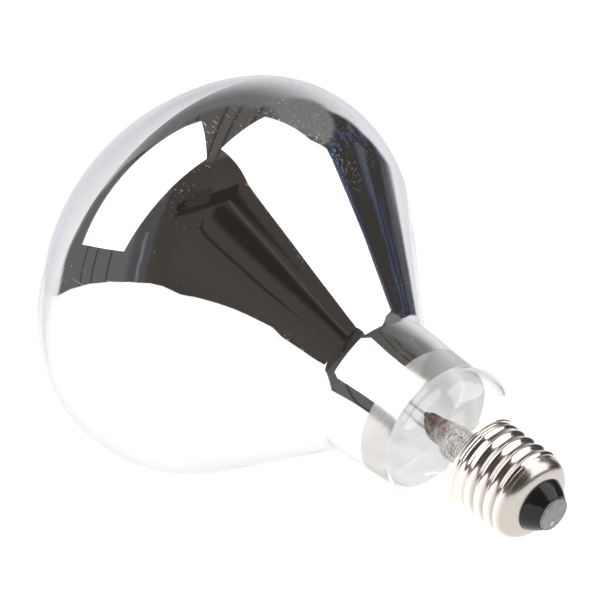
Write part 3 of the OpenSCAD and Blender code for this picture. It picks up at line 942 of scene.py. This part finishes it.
def glow(name, strength):
    """White light of a given strength."""
    material = bpy.data.materials.new(name)
    material.use_nodes = True
    tree = material.node_tree
    tree.nodes.clear()
    shader = tree.nodes.new("ShaderNodeEmission")
    shader.inputs["Color"].default_value = (*WHITE, 1.0)
    shader.inputs["Strength"].default_value = strength
    tree.links.new(shader.outputs[0], tree.nodes.new("ShaderNodeOutputMaterial").inputs["Surface"])
    return material


def make_softboxes():
    """Two softboxes. They are out of the camera's sight, and the mirror shows them."""
    left = ((-0.38, -0.607), (0.38, -0.607), (0.38, 0.607), (-0.38, 0.607))
    right = ((-0.976, 0.214), (-0.1, -0.56), (0.4, -0.1), (0.233, 0.354), (-0.045, 0.391), (-0.545, 0.844))
    boxes = (
        ("softbox_left", (-0.2352, -0.7745, -0.4985), (0.0539, 0.7864, 0.6153), 91.7, left),
        ("softbox_right", (-0.7839, -0.0059, 0.3371), (0.7482, 0.2217, -0.6254), -150.2, right),
    )
    for name, centre, aim, spin, corners in boxes:
        box = card(name, centre, *facing(aim, spin), corners, glow(name, SOFTBOX_GLOW))
        box.visible_camera = False
        box.visible_shadow = False


def make_table():
    """White table under the lamp. Its near edge ends in the dark room, and only the mirror shows it."""
    corners = ((-0.5, 0.9), (-0.55, 0.145), (-0.832, -0.134), (-1.086, -0.462), (-0.818, -0.72),
               (-0.374, -0.618), (-0.126, -0.466), (-0.023, -0.351), (0.012, -0.55), (0.045, -0.68),
               (0.036, -0.48), (0.045, -0.261), (0.6, -0.3), (1.5, -0.3), (1.5, 1.8), (-0.5, 1.8))
    white = glow("table", TABLE_GLOW)
    split_rays(white.node_tree, direct=None, mirrored=node_of(white.node_tree, "EMISSION"))
    table = card("table", TABLE_AT, TABLE_RIGHT, TABLE_AWAY, corners, white)
    table.visible_shadow = False


def make_floor():
    """Pale floor below the lens. Mirrored rays pass through it, so that the softboxes show in the mirror."""
    corners = [(x * FLOOR_HALF, y * FLOOR_HALF) for x, y in ((-1, -1), (1, -1), (1, 1), (-1, 1))]
    material = bpy.data.materials.new("studio_floor")
    material.use_nodes = True
    shader = node_of(material.node_tree, "BSDF_PRINCIPLED")
    shader.inputs["Base Color"].default_value = (0.4, 0.4, 0.4, 1.0)
    shader.inputs["Roughness"].default_value = 0.9
    shader.inputs["Emission Color"].default_value = (*WHITE, 1.0)
    shader.inputs["Emission Strength"].default_value = FLOOR_GLOW
    split_rays(material.node_tree, direct=shader, mirrored=None, clear_from_below=True)
    card("studio_floor", (0, 0, POLE_Z * MM), Vector((1, 0, 0)), Vector((0, 1, 0)), corners, material)


class Sky(Look):
    """The same short calls on the world's nodes. A direction has an angle across and one up, in degrees, as
    seen from the lamp on its table: turn is across from straight ahead, and behind from straight back."""

    def __init__(self):
        world = bpy.data.worlds.new("studio")
        bpy.context.scene.world = world
        world.use_nodes = True
        self.tree = world.node_tree
        self.shader = node_of(self.tree, "BACKGROUND")
        self.place = self.add("ShaderNodeTexCoord").outputs["Generated"]
        degrees = 180 / math.pi
        self.right = self.along(TABLE_RIGHT)
        self.above = self.along(TABLE_UP)
        away = self.along(TABLE_AWAY)
        towards = self.math("MULTIPLY", away, -1.0)
        self.ragged = self.math("MULTIPLY_ADD", self.noise(5.0, 4.0), 8.0, -4.0)
        self.lift = self.math("MULTIPLY", self.math("ARCSINE", self.above), degrees)
        self.turn = self.math("MULTIPLY", self.math("ARCTAN2", self.right, away), degrees)
        self.turn_ragged = self.math("ADD", self.turn, self.math("MULTIPLY", self.ragged, 1.5))
        behind = self.math("ARCTAN2", self.right, towards)
        self.behind = self.math("MULTIPLY_ADD", behind, degrees, self.math("MULTIPLY", self.ragged, 0.9))
        rays = self.add("ShaderNodeLightPath")
        self.mirrors = rays.outputs["Glossy Depth"]
        self.glasses = rays.outputs["Transmission Depth"]

    def along(self, direction):
        """How far the ray goes in a direction."""
        node = self.tree.nodes.new("ShaderNodeVectorMath")
        node.operation = "DOT_PRODUCT"
        self.feed(node.inputs[0], self.place)
        node.inputs[1].default_value = direction
        return node.outputs["Value"]

    def window(self, value, low, high, soft):
        """1 between two values, with soft edges."""
        rise = self.between(value, low - soft, low + soft)
        fall = self.between(value, high - soft, high + soft, 1.0, 0.0)
        return self.math("MULTIPLY", rise, fall)

    def patch(self, shade, across, left, right, bottom, top, soft, colour):
        """A soft rectangle in the directions between two angles across and two angles up."""
        wide = self.window(across, left, right, soft)
        high = self.window(self.lift, bottom, top, soft)
        return self.blend(self.math("MULTIPLY", wide, high), shade, colour)


def dark_room(sky):
    """The room behind the camera, with a few lighter and darker shapes in it."""
    shade = sky.blend(sky.noise(2.2), (0.045, 0.038, 0.034), (0.078, 0.068, 0.062))
    # Left, right, bottom, top, softness and colour
    shapes = (
        (-60, -22, -12, 60, 2.0, (0.082, 0.082, 0.09)),
        (-30.5, -28, -8, 20, 0.8, (0.17, 0.175, 0.2)),
        (-12, 34, 26.5, 36, 1.2, (0.026, 0.023, 0.021)),
        (-4, 14, 30, 40, 1.0, (0.045, 0.04, 0.037)),
        (19, 27, 17, 25, 2.0, (0.024, 0.021, 0.019)),
        (27.5, 29.0, 17, 27, 0.8, (0.085, 0.076, 0.062)),
        (11.5, 13, 9, 20, 0.6, (0.03, 0.026, 0.024)),
    )
    for shape in shapes:
        shade = sky.patch(shade, sky.behind, *shape)
    return shade


def grey_wall(sky, shade):
    """A wall on the left, with the joints of its panels."""
    shade = sky.patch(shade, sky.turn, -142, -68, -20, 48, 3.0, (0.135, 0.13, 0.128))
    for joint in (-125, -111, -100):
        shade = sky.patch(shade, sky.turn, joint - 0.7, joint + 0.7, -20, 20, 0.5, (0.05, 0.045, 0.042))
    return shade


def ceiling(sky, shade):
    """A ceiling with beams. A beam lies at one slant, which is how far it is to the side for its height."""
    overhead = sky.between(sky.lift, 57, 64)
    shade = sky.blend(overhead, shade, (0.11, 0.104, 0.098))
    slant = sky.math("DIVIDE", sky.right, sky.above)
    half_w = 0.012
    for beam in (-0.28, -0.19, 0.02, 0.13, 0.3):
        under = sky.math("MULTIPLY", overhead, sky.window(slant, beam - half_w, beam + half_w, 0.008))
        shade = sky.blend(under, shade, (0.055, 0.05, 0.047))
    return shade


def lit_paper(sky, shade):
    """The white paper behind the lamp, darker towards its top, and a grey shape at its upper right."""
    paper = sky.blend(sky.between(sky.lift, 8, 62), (0.88, 0.88, 0.92), (0.16, 0.16, 0.165))
    below_top = sky.between(sky.lift, 66, 74, 1.0, 0.0)
    shade = sky.blend(sky.math("MULTIPLY", sky.window(sky.turn_ragged, -70, 36, 3), below_top), shade, paper)
    lift_ragged = sky.math("ADD", sky.lift, sky.ragged)
    upper_right = sky.math("MULTIPLY", sky.window(sky.turn, 28, 78, 4), sky.window(lift_ragged, 34, 62, 3))
    return sky.blend(upper_right, shade, (0.2, 0.195, 0.19))


def clothes(sky, shade):
    """Dark cloth beside the softbox. It is blue where a ray has gone through glass."""
    in_glass = sky.math("MINIMUM", sky.glasses, 1.0)
    blue = sky.blend(in_glass, (0.06, 0.055, 0.05), (0.052, 0.075, 0.155))
    patches = sky.noise(11.0, 4.0)
    cloth = sky.blend(sky.between(patches, 0.5, 0.53), (0.045, 0.04, 0.037), blue)
    cloth = sky.blend(sky.between(patches, 0.57, 0.6), cloth, (0.11, 0.095, 0.08))
    beside = sky.math("MULTIPLY", sky.window(sky.turn_ragged, 36, 80, 2), sky.window(sky.lift, 2, 34, 2))
    return sky.blend(beside, shade, cloth)


def make_world():
    """White for what the camera sees, and a dim studio for what a glossy surface shows. What leaves the lamp
    after one reflection inside it meets the white around the lamp."""
    sky = Sky()
    shade = clothes(sky, lit_paper(sky, ceiling(sky, grey_wall(sky, dark_room(sky)))))
    from_inside = sky.math("GREATER_THAN", sky.glasses, 2.5)
    once = sky.math("COMPARE", sky.mirrors, 1.0, 0.5)
    shade = sky.blend(sky.math("MULTIPLY", from_inside, once), shade, (0.95, 0.95, 0.95))
    sky.set("Color", sky.blend(sky.math("MINIMUM", sky.mirrors, 1.0), WHITE, shade))
    sky.set("Strength", 1.0)


def make_camera():
    data = bpy.data.cameras.new("camera")
    data.lens = CAMERA_LENS
    data.sensor_width = CAMERA_SENSOR
    data.clip_start = 0.01
    camera = add_object("camera", data)
    look = (CAMERA_AIM - CAMERA_AT).to_track_quat("-Z", "Y").to_matrix().to_4x4()
    camera.matrix_world = Matrix.Translation(CAMERA_AT) @ look @ Matrix.Rotation(CAMERA_ROLL, 4, "Z")
    bpy.context.scene.camera = camera


def make_view():
    """Plain colours, and enough bounces for light that goes in and out through the glass and the mirror."""
    scene = bpy.context.scene
    scene.view_settings.view_transform = "Standard"
    scene.cycles.max_bounces = 24
    scene.cycles.transmission_bounces = 20
    scene.cycles.glossy_bounces = 12
    scene.cycles.transparent_max_bounces = 16


make_camera()
make_envelope()
make_film()
make_haze()
make_screw_shell()
make_insulator()
make_contact()
make_solders()
make_cement()
make_stem()
make_exhaust()
make_cane()
make_seals_and_inner_leads()
make_outer_leads()
make_filament()
make_supports()
make_floor()
make_softboxes()
make_table()
make_world()
make_view()
